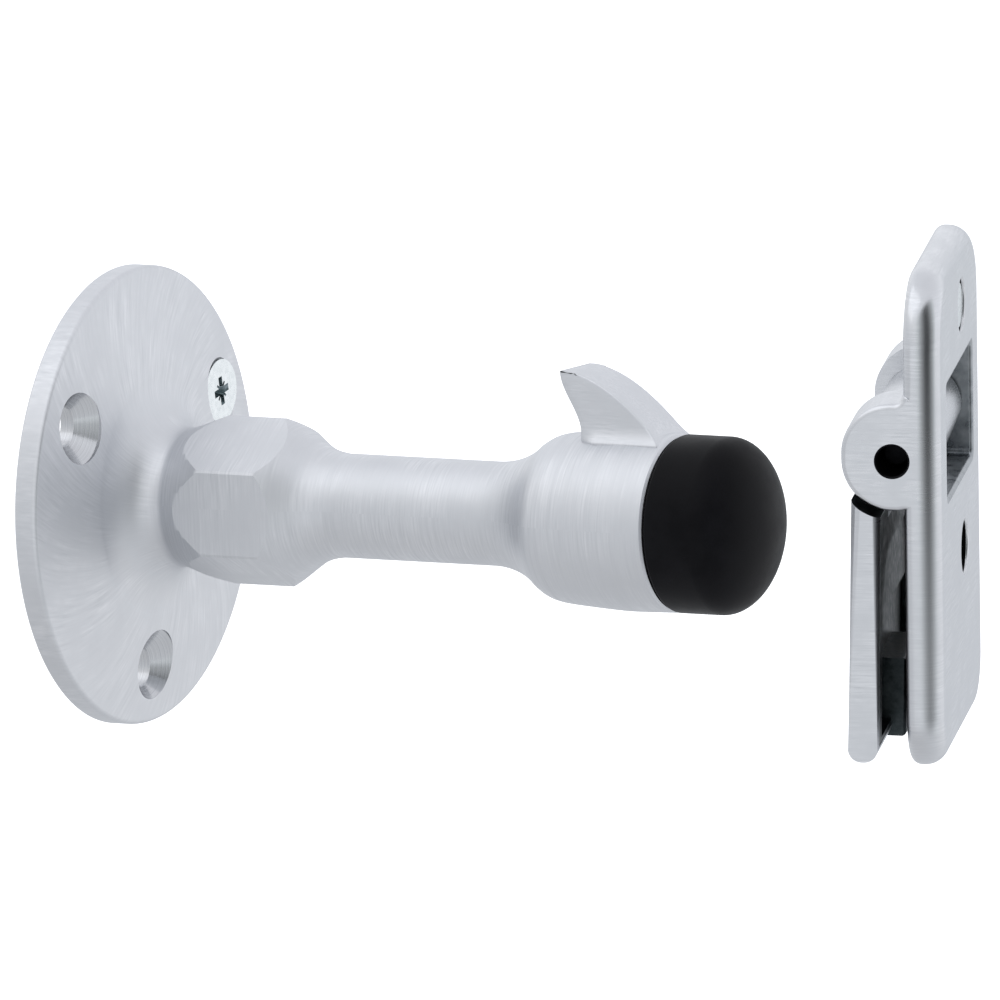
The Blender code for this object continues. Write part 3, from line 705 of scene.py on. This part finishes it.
def plate_hole_cutter():
    """The through hole, with its countersink on the plate's front."""
    cone = (PLATE_SINK_RADIUS - PLATE_HOLE_RADIUS) / math.tan(SINK_HALF_ANGLE)
    profile = [(PLATE_FRONT - MARGIN, 0.0), (PLATE_FRONT - MARGIN, PLATE_SINK_RADIUS)]
    profile += [(PLATE_FRONT, PLATE_SINK_RADIUS), (PLATE_FRONT + cone, PLATE_HOLE_RADIUS)]
    profile += [(PLATE_BACK + MARGIN, PLATE_HOLE_RADIUS), (PLATE_BACK + MARGIN, 0.0)]
    return turned(profile, ROUND_SIDES)


def plate_hole_rim():
    """The rounded rim of a hole on the plate's back."""
    profile = [(PLATE_BACK - HOLE_RIM_ROUND, 0.0)]
    for depth, grow in rim_steps(HOLE_RIM_ROUND, 5):
        profile.append((PLATE_BACK - depth, PLATE_HOLE_RADIUS + grow))
    profile += [(PLATE_BACK + MARGIN, PLATE_HOLE_RADIUS + HOLE_RIM_ROUND), (PLATE_BACK + MARGIN, 0.0)]
    return turned(profile, ROUND_SIDES)


def pin_bore(width):
    """A round cutter along the pin, its rims eased where it leaves the sides."""
    reach = width / 2
    rim = [(-reach + d, PIN_HOLE_RADIUS + g) for d, g in reversed(rim_steps(HOLE_RIM_ROUND, 4))]
    half = [(-reach - MARGIN, 0.0), (-reach - MARGIN, PIN_HOLE_RADIUS + HOLE_RIM_ROUND)] + rim
    return along_pin(turned(half + [(-x, r) for x, r in reversed(half)], ROUND_SIDES))


def build_plate(keeper, chrome, window_painted_shade, machined, dark):
    slab = prism(plate_outline(PLATE_FRONT), (PLATE_BACK - PLATE_FRONT, 0, 0))
    round_edges(slab, lambda edge: in_plane(edge, 0, PLATE_BACK), PLATE_BACK_ROUND, 12)
    round_edges(slab, lambda edge: in_plane(edge, 0, PLATE_FRONT), PLATE_FRONT_ROUND, 6)
    plate = add_mesh("keeper_plate", slab, keeper, chrome)
    half = KEEPER_WIDTH / 2
    combine(plate, ear_shape(-half, -half), "UNION", chrome)
    combine(plate, ear_shape(EAR_GAP / 2, half), "UNION", chrome)
    # The window's walls take chrome darkened as painted shade.
    combine(plate, window_cutter(), "DIFFERENCE", window_painted_shade)
    for y, z in PLATE_HOLES:
        combine(plate, plate_hole_rim(), "DIFFERENCE", machined, (0, y, z))
        # Painted shade: the hole's wall is near black.
        combine(plate, plate_hole_cutter(), "DIFFERENCE", dark, (0, y, z))
    # Painted shade: the pin's bore through the plate is near black.
    combine(plate, pin_bore(KEEPER_WIDTH), "DIFFERENCE", dark)
    finish_piece(plate, "door_keeper", "door_plate")


def build_pin(keeper, dark):
    half = PIN_LENGTH / 2
    profile = [(-half, 0.0)]
    profile += arc((-half + GAP, PIN_RADIUS - GAP), GAP, 180, 90, 5)
    profile += [(-x, r) for x, r in reversed(profile)]
    pin = add_mesh("keeper_pin", along_pin(turned(profile, ROUND_SIDES)), keeper, dark)
    finish_piece(pin, "door_keeper", "hinge_pin")


def build_plate_screw(keeper, zinc, dark):
    radius = PLATE_HOLE_RADIUS - GAP
    front = PLATE_FRONT + GAP
    cone_end = front + (PLATE_SINK_RADIUS - PLATE_HOLE_RADIUS) / math.tan(SINK_HALF_ANGLE)
    end = PLATE_BACK - GAP
    profile = [(front, 0.0), (front, PLATE_SINK_RADIUS - GAP), (cone_end, radius)]
    profile += [(end - GAP, radius), (end, radius - GAP), (end, 0.0)]
    place = keeper @ Matrix.Translation((0.0, *PLATE_HOLES[0]))
    screw = add_mesh("keeper_screw", turned(profile, ROUND_SIDES), place, zinc)
    recess = cross_recess(-front, *PLATE_SCREW_RECESS)
    bmesh.ops.rotate(recess, verts=recess.verts, matrix=Matrix.Rotation(math.pi, 3, "Z"))
    # The recess's faces take dark, zinc with painted shade.
    combine(screw, recess, "DIFFERENCE", dark)
    finish_piece(screw, "door_keeper", "plate_screw")


def flap_slab():
    half = KEEPER_WIDTH / 2
    corners = ((-half, FLAP_BOTTOM), (half, FLAP_BOTTOM), (half, 0.0), (-half, 0.0))
    slab = prism([(FLAP_FRONT, y, z) for y, z in corners], (FLAP_BACK - FLAP_FRONT, 0, 0))

    def at_foot(edge):
        level = all(vert.co.z < FLAP_BOTTOM + WELD for vert in edge.verts)
        return level and abs(edge.verts[0].co.x - edge.verts[1].co.x) < WELD

    def side_edge(x):
        def chosen(edge):
            upright = abs(edge.verts[0].co.z - edge.verts[1].co.z) > KEEPER_WIDTH / 2
            return upright and in_plane(edge, 0, x)

        return chosen

    round_edges(slab, at_foot, FLAP_FOOT_ROUND, 12)
    round_edges(slab, side_edge(FLAP_FRONT), FLAP_FRONT_ROUND, 6)
    round_edges(slab, side_edge(FLAP_BACK), FLAP_BACK_ROUND, 4)
    return slab


def ear_clearance():
    width = (KEEPER_WIDTH - KNUCKLE_WIDTH) / 2 + MARGIN
    radius = FLAP_TOP_RADIUS
    profile = [(0.0, 0.0), (0.0, radius), (width, radius), (width, 0.0)]
    return along_pin(turned(profile, FINE_SIDES))


def knuckle_shape():
    """The flap's knuckle about the pin, with the thick web that joins it to the flap."""
    outline = [(FLAP_FRONT, WEB_FOOT)]
    for step in range(KNUCKLE_SWEEP_STEPS, 0, -1):
        turn = step / KNUCKLE_SWEEP_STEPS
        radius = KNUCKLE_RADIUS - (KNUCKLE_RADIUS + FLAP_FRONT) * smoothstep(turn)
        angle = math.pi / 2 * (1 + turn)
        outline.append((radius * math.cos(angle), radius * math.sin(angle)))
    outline += arc((0.0, 0.0), KNUCKLE_RADIUS, 90, -10, 30)
    outline += [WEB_CORNER, (FLAP_BACK, WEB_CORNER[1]), (FLAP_BACK, WEB_FOOT)]
    half = KNUCKLE_WIDTH / 2
    shape = prism([(x, -half, z) for x, z in outline], (0, KNUCKLE_WIDTH, 0))
    round_edges(shape, lambda edge: in_plane(edge, 1, half), GAP, 2)
    round_edges(shape, lambda edge: in_plane(edge, 1, -half), GAP, 2)
    return shape


def pocket(outline, depth):
    return prism([(FLAP_BACK - depth, y, z) for y, z in outline], (depth + MARGIN, 0, 0))


def flap_back_outline():
    """The area of the flap's back inside its chrome edges, which takes painted shade."""
    side = KEEPER_WIDTH / 2 - FLAP_BACK_ROUND - GAP
    low = FLAP_BOTTOM + FLAP_FOOT_ROUND
    high = -FLAP_TOP_RADIUS
    return [(-side, low), (side, low), (side, high), (-side, high)]


def build_flap(keeper, chrome, dark, oxide_and_painted_shade):
    place = keeper @ Matrix.Rotation(FLAP_REST_TILT, 4, "Y")
    flap = add_mesh("keeper_flap", flap_slab(), place, chrome)
    far = KEEPER_WIDTH / 2 + MARGIN
    # The shoulders, the back and the pockets take dark: painted shade where the flap faces the ears
    # and the plate.
    combine(flap, ear_clearance(), "DIFFERENCE", dark, (0, -far, 0))
    combine(flap, ear_clearance(), "DIFFERENCE", dark, (0, KNUCKLE_WIDTH / 2, 0))
    combine(flap, pocket(flap_back_outline(), FLAP_BACK_DEPTH), "DIFFERENCE", dark)
    wide = POCKET_HALF_WIDTH
    centre = (wide - POCKET_CORNER, POCKET_TOP - POCKET_CORNER)
    upper = [(-wide, POCKET_BOTTOM), (wide, POCKET_BOTTOM)]
    upper += arc(centre, POCKET_CORNER, 0, 90, 20)
    upper += arc((-centre[0], centre[1]), POCKET_CORNER, 90, 180, 20)
    lower = [(-wide, POCKET_BOTTOM), (wide, POCKET_BOTTOM), (wide, POCKET_STEP)]
    lower.append((-wide, POCKET_STEP))
    combine(flap, pocket(upper, POCKET_DEPTH), "DIFFERENCE", dark)
    combine(flap, pocket(lower, LOWER_POCKET_DEPTH), "DIFFERENCE", dark)
    combine(flap, knuckle_shape(), "UNION", chrome)
    foot = FLAP_BOTTOM + GAP
    pad = [(-PAD_HALF_WIDTH, foot), (PAD_HALF_WIDTH, foot)]
    pad += [(PAD_HALF_WIDTH, PAD_TOP), (-PAD_HALF_WIDTH, PAD_TOP)]
    start = (FLAP_FRONT + FLAP_BACK) / 2
    solid = prism([(start, y, z) for y, z in pad], (FLAP_BACK + PAD_PROUD - start, 0, 0))
    front = FLAP_BACK + PAD_PROUD
    round_edges(solid, lambda edge: in_plane(edge, 0, front), PAD_ROUND, 4)
    # The pad takes dark as well: painted shade facing the plate.
    combine(flap, solid, "UNION", dark)
    # Painted shade: the knuckle's bore is near black.
    combine(flap, pin_bore(KNUCKLE_WIDTH), "DIFFERENCE", oxide_and_painted_shade)
    finish_piece(flap, "catch", "catch_flap")


# ---------------------------------------------------------------- materials


class Shader:
    """A material's node tree, with short calls for the nodes that the finishes share."""

    def __init__(self, name, colour, roughness, metallic):
        self.material = bpy.data.materials.new(name)
        self.material.use_nodes = True
        self.tree = self.material.node_tree
        self.surface = self.tree.nodes["Principled BSDF"]
        self.surface.inputs["Base Color"].default_value = (*colour, 1.0)
        self.surface.inputs["Roughness"].default_value = roughness
        self.surface.inputs["Metallic"].default_value = metallic

    def node(self, kind, **settings):
        made = self.tree.nodes.new(kind)
        for key, value in settings.items():
            setattr(made, key, value)
        return made

    def link(self, source, target):
        if isinstance(source, bpy.types.NodeSocket):
            self.tree.links.new(source, target)
        else:
            target.default_value = source

    def math(self, operation, first, second=0.0, third=0.0):
        made = self.node("ShaderNodeMath", operation=operation)
        for socket, value in zip(made.inputs, (first, second, third)):
            self.link(value, socket)
        return made.outputs[0]

    def place(self, frame=None):
        """The point's own x, y and z in millimetres, in the part's frame or in the frame given."""
        coordinates = self.node("ShaderNodeTexCoord").outputs["Object"]
        if frame:
            mapping = self.node("ShaderNodeMapping", vector_type="TEXTURE")
            mapping.inputs["Location"].default_value = frame.translation
            mapping.inputs["Rotation"].default_value = frame.to_euler()
            self.link(coordinates, mapping.inputs["Vector"])
            coordinates = mapping.outputs["Vector"]
        parts = self.node("ShaderNodeSeparateXYZ")
        self.link(coordinates, parts.inputs[0])
        return [self.math("MULTIPLY", output, 1 / MM) for output in parts.outputs]

    def noise(self, place, scales, detail=3.0, rough=0.6):
        vector = self.node("ShaderNodeCombineXYZ")
        for socket, value, scale in zip(vector.inputs, place, scales):
            self.link(self.math("MULTIPLY", value, scale), socket)
        made = self.node("ShaderNodeTexNoise")
        made.inputs["Scale"].default_value = 1.0
        made.inputs["Detail"].default_value = detail
        made.inputs["Roughness"].default_value = rough
        self.link(vector.outputs[0], made.inputs["Vector"])
        return made.outputs["Fac"]

    def spread(self, value, low, high, start=0.3, end=0.7):
        made = self.node("ShaderNodeMapRange")
        made.inputs["From Min"].default_value = start
        made.inputs["From Max"].default_value = end
        self.link(low, made.inputs["To Min"])
        self.link(high, made.inputs["To Max"])
        self.link(value, made.inputs["Value"])
        return made.outputs["Result"]

    def mix(self, factor, first, second):
        made = self.node("ShaderNodeMix", data_type="FLOAT")
        self.link(factor, made.inputs[0])
        self.link(first, made.inputs[2])
        self.link(second, made.inputs[3])
        return made.outputs[0]

    def tint(self, factor, dark, light):
        made = self.node("ShaderNodeMix", data_type="RGBA")
        self.link(factor, made.inputs[0])
        made.inputs[6].default_value = (*dark, 1.0)
        made.inputs[7].default_value = (*light, 1.0)
        self.link(made.outputs[2], self.surface.inputs["Base Color"])

    def bump(self, height, distance, strength):
        made = self.node("ShaderNodeBump")
        made.inputs["Distance"].default_value = distance
        made.inputs["Strength"].default_value = strength
        self.link(height, made.inputs["Height"])
        self.link(made.outputs["Normal"], self.surface.inputs["Normal"])


def finish_brushed(shader, brush, cloud, tints, smooth, rough):
    """Colour, roughness and fine grooves that follow the brush marks, heavier in some patches."""
    heavy = shader.spread(cloud, *MARKED_PATCHES)
    marks = shader.mix(heavy, NO_MARK, brush)
    plain_share = shader.math("MULTIPLY", cloud, 1.0 - MARK_SHARE)
    blend = shader.math("MULTIPLY_ADD", marks, MARK_SHARE, plain_share)
    shader.tint(shader.spread(blend, 0.0, 1.0), *tints)
    shader.link(shader.spread(blend, rough, smooth), shader.surface.inputs["Roughness"])
    shader.bump(marks, MARK_DEPTH, MARK_STRENGTH)


def chrome_for_stop():
    """Satin chrome, brushed outwards on the flange, round the rod, and lengthwise on the hook."""
    shader = Shader("satin_chrome_stop", STOP_TINTS[1], STOP_ROUGHNESS[0], 1.0)
    place = shader.place()
    x, y, z = place
    radius = shader.math("SQRT", shader.math("MULTIPLY_ADD", y, y, shader.math("MULTIPLY", z, z)))
    angle = shader.math("ARCTAN2", z, y)
    around = shader.noise((x, angle, radius), MARKS_ROUND_ROD)
    swirl = shader.math("MULTIPLY_ADD", radius, FLANGE_MARKS_SWIRL, angle)
    outward = shader.noise((swirl, radius, x), MARKS_ACROSS_FLANGE)
    lengthwise = shader.noise(place, MARKS_ALONG_HOOK)
    past_flange = shader.spread(x, 0.0, 1.0, *FLANGE_MARKS_END)
    on_hook = shader.spread(radius, 0.0, 1.0, *HOOK_MARKS_START)
    rod = shader.mix(on_hook, around, lengthwise)
    brush = shader.mix(past_flange, outward, rod)
    cloud = shader.noise(place, STOP_CLOUD)
    finish_brushed(shader, brush, cloud, STOP_TINTS, *STOP_ROUGHNESS)
    return shader.material


def chrome_for_keeper(keeper):
    """Satin chrome, brushed straight across the keeper and glossier towards its top."""
    shader = Shader("satin_chrome_keeper", KEEPER_TINTS[1], KEEPER_ROUGHNESS[1], 1.0)
    place = shader.place(keeper)
    brush = shader.noise(place, MARKS_ACROSS_KEEPER)
    cloud = shader.noise(place, KEEPER_CLOUD)
    smooth = shader.spread(place[2], *KEEPER_ROUGHNESS, *KEEPER_GLOSS_SPAN)
    rough = shader.math("ADD", smooth, KEEPER_ROUGHER_MARKS)
    finish_brushed(shader, brush, cloud, KEEPER_TINTS, smooth, rough)
    return shader.material


def machined_chrome():
    """Bright turned metal inside the screw holes."""
    shader = Shader("machined_chrome", (0.64, 0.65, 0.67), 0.16, 1.0)
    rings = shader.noise(shader.place(), TURNING_MARKS, 2.0)
    shader.tint(shader.spread(rings, 0.0, 1.0), (0.46, 0.47, 0.49), (0.70, 0.71, 0.73))
    shader.link(shader.spread(rings, 0.17, 0.28), shader.surface.inputs["Roughness"])
    shader.bump(rings, 0.02 * MM, 0.4)
    return shader.material


def black_rubber():
    """Moulded rubber: near black, with a dusty bloom and a faint grain."""
    shader = Shader("black_rubber", (0.003, 0.003, 0.004), 0.5, 0.0)
    shader.surface.inputs["Specular IOR Level"].default_value = 0.08
    place = shader.place()
    grain = shader.noise(place, RUBBER_GRAIN)
    bloom = shader.noise(place, RUBBER_BLOOM)
    dusty = shader.spread(bloom, 0.0, 1.0)
    shader.tint(dusty, (0.0014, 0.0014, 0.0022), (0.0036, 0.0036, 0.0048))
    shader.link(shader.spread(bloom, 0.38, 0.5), shader.surface.inputs["Roughness"])
    shader.bump(grain, 0.02 * MM, 0.25)
    return shader.material


def patchy_metal(name, dark, light, smooth, rough, scale):
    """Plain metal whose colour and gloss vary in small patches."""
    shader = Shader(name, light, smooth, 1.0)
    patches = shader.noise(shader.place(), (scale, scale, scale))
    shader.tint(shader.spread(patches, 0.0, 1.0), dark, light)
    shader.link(shader.spread(patches, smooth, rough), shader.surface.inputs["Roughness"])
    shader.bump(patches, 0.03 * MM, 0.3)
    return shader.material


def zinc_plate():
    dark, light = (0.70, 0.74, 0.75), (0.86, 0.89, 0.90)
    return patchy_metal("zinc_plate", dark, light, smooth=0.2, rough=0.36, scale=1.1)


def zinc_with_painted_shade():
    """Zinc in a screw's recess, with painted shade: darker than on its head, and a little rougher."""
    dark, light = (0.15, 0.19, 0.20), (0.46, 0.53, 0.55)
    return patchy_metal("zinc_with_painted_shade", dark, light, smooth=0.2, rough=0.4, scale=2.4)


def window_chrome_painted_shade():
    """Unbrushed chrome on the walls of the keeper's window, where the brush doesn't reach, with
    painted shade: darker than the brushed chrome.
    """
    dark, light = (0.24, 0.26, 0.28), (0.44, 0.46, 0.48)
    return patchy_metal("window_chrome_painted_shade", dark, light, smooth=0.22, rough=0.4, scale=0.5)


def dark_steel():
    """Painted shade, near black: the flap's back, its pockets and pad, which face the plate, and its
    shoulders under the ears.
    """
    dark, light = (0.020, 0.026, 0.028), (0.060, 0.070, 0.074)
    return patchy_metal("dark_steel", dark, light, smooth=0.3, rough=0.5, scale=0.8)


def black_oxide_and_painted_shade():
    """Black oxide on the hinge pin, and the same near black as painted shade in the pin's bores and
    the plate's screw holes.
    """
    dark, light = (0.004, 0.004, 0.005), (0.016, 0.016, 0.018)
    return patchy_metal("black_oxide_and_painted_shade", dark, light, smooth=0.4, rough=0.6, scale=1.5)


# ---------------------------------------------------------------- stage


def sheet(width, height):
    shape = bmesh.new()
    x, y = width / 2, height / 2
    corners = ((-x, -y, 0.0), (x, -y, 0.0), (x, y, 0.0), (-x, y, 0.0))
    shape.faces.new([shape.verts.new(corner) for corner in corners])
    return shape


def add_floor(lowest):
    """A pale floor a little below the part, which its chrome doesn't reflect."""
    shader = Shader("pale_floor", (0.93, 0.93, 0.93), 0.9, 0.0)
    shader.surface.inputs["Emission Color"].default_value = (1.0, 1.0, 1.0, 1.0)
    shader.surface.inputs["Emission Strength"].default_value = FLOOR_GLOW
    place = Matrix.Translation((0.0, 0.0, lowest - FLOOR_DROP))
    floor = add_mesh("floor", sheet(FLOOR_SIZE, FLOOR_SIZE), place, shader.material)
    floor.visible_glossy = False


def add_card():
    """Something dark for the keeper's rounded edge to reflect."""
    shader = Shader("dark_card", (0.0, 0.0, 0.0), 1.0, 0.0)
    across, upward, _ = shader.place()
    aside = shader.math("ABSOLUTE", across)
    sides = shader.spread(aside, CARD_DARK, CARD_PALE, *CARD_SIDE_SPAN)
    foot = shader.spread(upward, 0.0, CARD_FOOT_RISE, *CARD_FOOT_SPAN)
    shader.surface.inputs["Emission Color"].default_value = (*CARD_TINT, 1.0)
    shader.link(shader.math("ADD", sides, foot), shader.surface.inputs["Emission Strength"])
    turn = (Vector(CARD_FACES) - Vector(CARD_PLACE)).to_track_quat("Z", "Y")
    place = Matrix.LocRotScale(Vector(CARD_PLACE), turn, None)
    card = add_mesh("card", sheet(*CARD_SIZE), place, shader.material)
    card.visible_camera = False
    card.visible_diffuse = False
    card.visible_shadow = False


def add_softbox():
    light = bpy.data.lights.new("softbox", "AREA")
    light.shape = "RECTANGLE"
    light.size, light.size_y = SOFTBOX_SIZE
    light.energy = SOFTBOX_POWER
    lamp = bpy.data.objects.new("softbox", light)
    lamp.location = SOFTBOX_PLACE
    direction = Vector(SOFTBOX_FACES) - Vector(SOFTBOX_PLACE)
    lamp.rotation_euler = direction.to_track_quat("-Z", "Y").to_euler()
    bpy.context.scene.collection.objects.link(lamp)


def add_world():
    """A white backdrop for the camera, and a soft studio that lights the part."""
    world = bpy.data.worlds.new("studio")
    bpy.context.scene.world = world
    world.use_nodes = True
    nodes, links = world.node_tree.nodes, world.node_tree.links
    direction = nodes.new("ShaderNodeTexCoord").outputs["Generated"]

    def along(target, low, high):
        """How far a direction is along the target: 0 at low and 1 at high, eased."""
        dot = nodes.new("ShaderNodeVectorMath")
        dot.operation = "DOT_PRODUCT"
        dot.inputs[1].default_value = target
        links.new(direction, dot.inputs[0])
        reach = nodes.new("ShaderNodeMapRange")
        reach.interpolation_type = "SMOOTHSTEP"
        reach.inputs["From Min"].default_value = low
        reach.inputs["From Max"].default_value = high
        links.new(dot.outputs["Value"], reach.inputs["Value"])
        return reach.outputs["Result"]

    def blend(factor, first, colour):
        made = nodes.new("ShaderNodeMix")
        made.data_type = "RGBA"
        links.new(factor, made.inputs[0])
        links.new(first, made.inputs[6])
        made.inputs[7].default_value = (*colour, 1.0)
        return made.outputs[2]

    ramp = nodes.new("ShaderNodeValToRGB")
    while len(ramp.color_ramp.elements) < len(STUDIO_LEVELS):
        ramp.color_ramp.elements.new(0.5)
    for element, (position, colour) in zip(ramp.color_ramp.elements, STUDIO_LEVELS):
        element.position = position
        element.color = (*colour, 1.0)
    rise = nodes.new("ShaderNodeMapRange")
    rise.inputs["From Min"].default_value = -STUDIO_REACH
    rise.inputs["From Max"].default_value = STUDIO_REACH
    tilt = nodes.new("ShaderNodeVectorMath")
    tilt.operation = "DOT_PRODUCT"
    tilt.inputs[1].default_value = STUDIO_SLOPE
    links.new(direction, tilt.inputs[0])
    links.new(tilt.outputs["Value"], rise.inputs["Value"])
    links.new(rise.outputs["Result"], ramp.inputs["Fac"])
    colour = ramp.outputs["Color"]
    for target, inner, outer, level in STUDIO_PATCHES:
        target = Vector(target).normalized()
        reach = along(target, math.cos(math.radians(outer)), math.cos(math.radians(inner)))
        colour = blend(reach, colour, level)
    studio = nodes["Background"]
    links.new(colour, studio.inputs["Color"])
    backdrop = nodes.new("ShaderNodeBackground")
    backdrop.inputs["Color"].default_value = (1.0, 1.0, 1.0, 1.0)
    choose = nodes.new("ShaderNodeMixShader")
    links.new(nodes.new("ShaderNodeLightPath").outputs["Is Camera Ray"], choose.inputs[0])
    links.new(studio.outputs[0], choose.inputs[1])
    links.new(backdrop.outputs[0], choose.inputs[2])
    links.new(choose.outputs[0], nodes["World Output"].inputs["Surface"])


def add_camera():
    """A very long lens, so that the view is close to parallel."""
    a, e, k = VIEW_AZIMUTH, VIEW_ELEVATION, VIEW_ROLL
    right = Vector((math.cos(a), math.sin(a), 0.0))
    up = Vector((-math.sin(a) * math.sin(e), math.cos(a) * math.sin(e), math.cos(e)))
    back = Vector((math.sin(a) * math.cos(e), -math.cos(a) * math.cos(e), math.sin(e)))
    across = right * math.cos(k) - up * math.sin(k)
    upward = right * math.sin(k) + up * math.cos(k)
    target = across * VIEW_CENTRE[0] + upward * VIEW_CENTRE[1] + back * VIEW_CENTRE[2]
    data = bpy.data.cameras.new("camera")
    data.lens = LENS
    data.sensor_width = SENSOR
    camera = bpy.data.objects.new("camera", data)
    matrix = Matrix((across, upward, back)).transposed().to_4x4()
    matrix.translation = target + back * (VIEW_WIDTH * LENS / SENSOR)
    camera.matrix_world = matrix
    data.clip_start, data.clip_end = CLIP
    bpy.context.scene.collection.objects.link(camera)
    bpy.context.scene.camera = camera


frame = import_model()
cad_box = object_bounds()
add_camera()

stop_chrome = chrome_for_stop()
keeper = keeper_frame(frame)
keeper_chrome = chrome_for_keeper(keeper)
machined = machined_chrome()
# Near-black steel: painted shade on the flap's back and shoulders.
flap_painted_shade = dark_steel()
zinc = zinc_plate()
# Zinc with painted shade, for the screws' recesses.
recess = zinc_with_painted_shade()
# Black oxide on the pin, and painted shade in the bores and holes.
oxide_and_painted_shade = black_oxide_and_painted_shade()

build_stop(stop_chrome, machined)
build_bumper(black_rubber())
build_wall_screw(zinc, recess)
# The keeper's window walls take chrome darkened as painted shade.
build_plate(keeper, keeper_chrome, window_chrome_painted_shade(), machined, oxide_and_painted_shade)
build_pin(keeper, oxide_and_painted_shade)
build_plate_screw(keeper, zinc, recess)
build_flap(keeper, keeper_chrome, flap_painted_shade, oxide_and_painted_shade)

add_floor(cad_box[0].z)
add_card()
add_world()
add_softbox()
bpy.context.scene.view_settings.view_transform = "Standard"
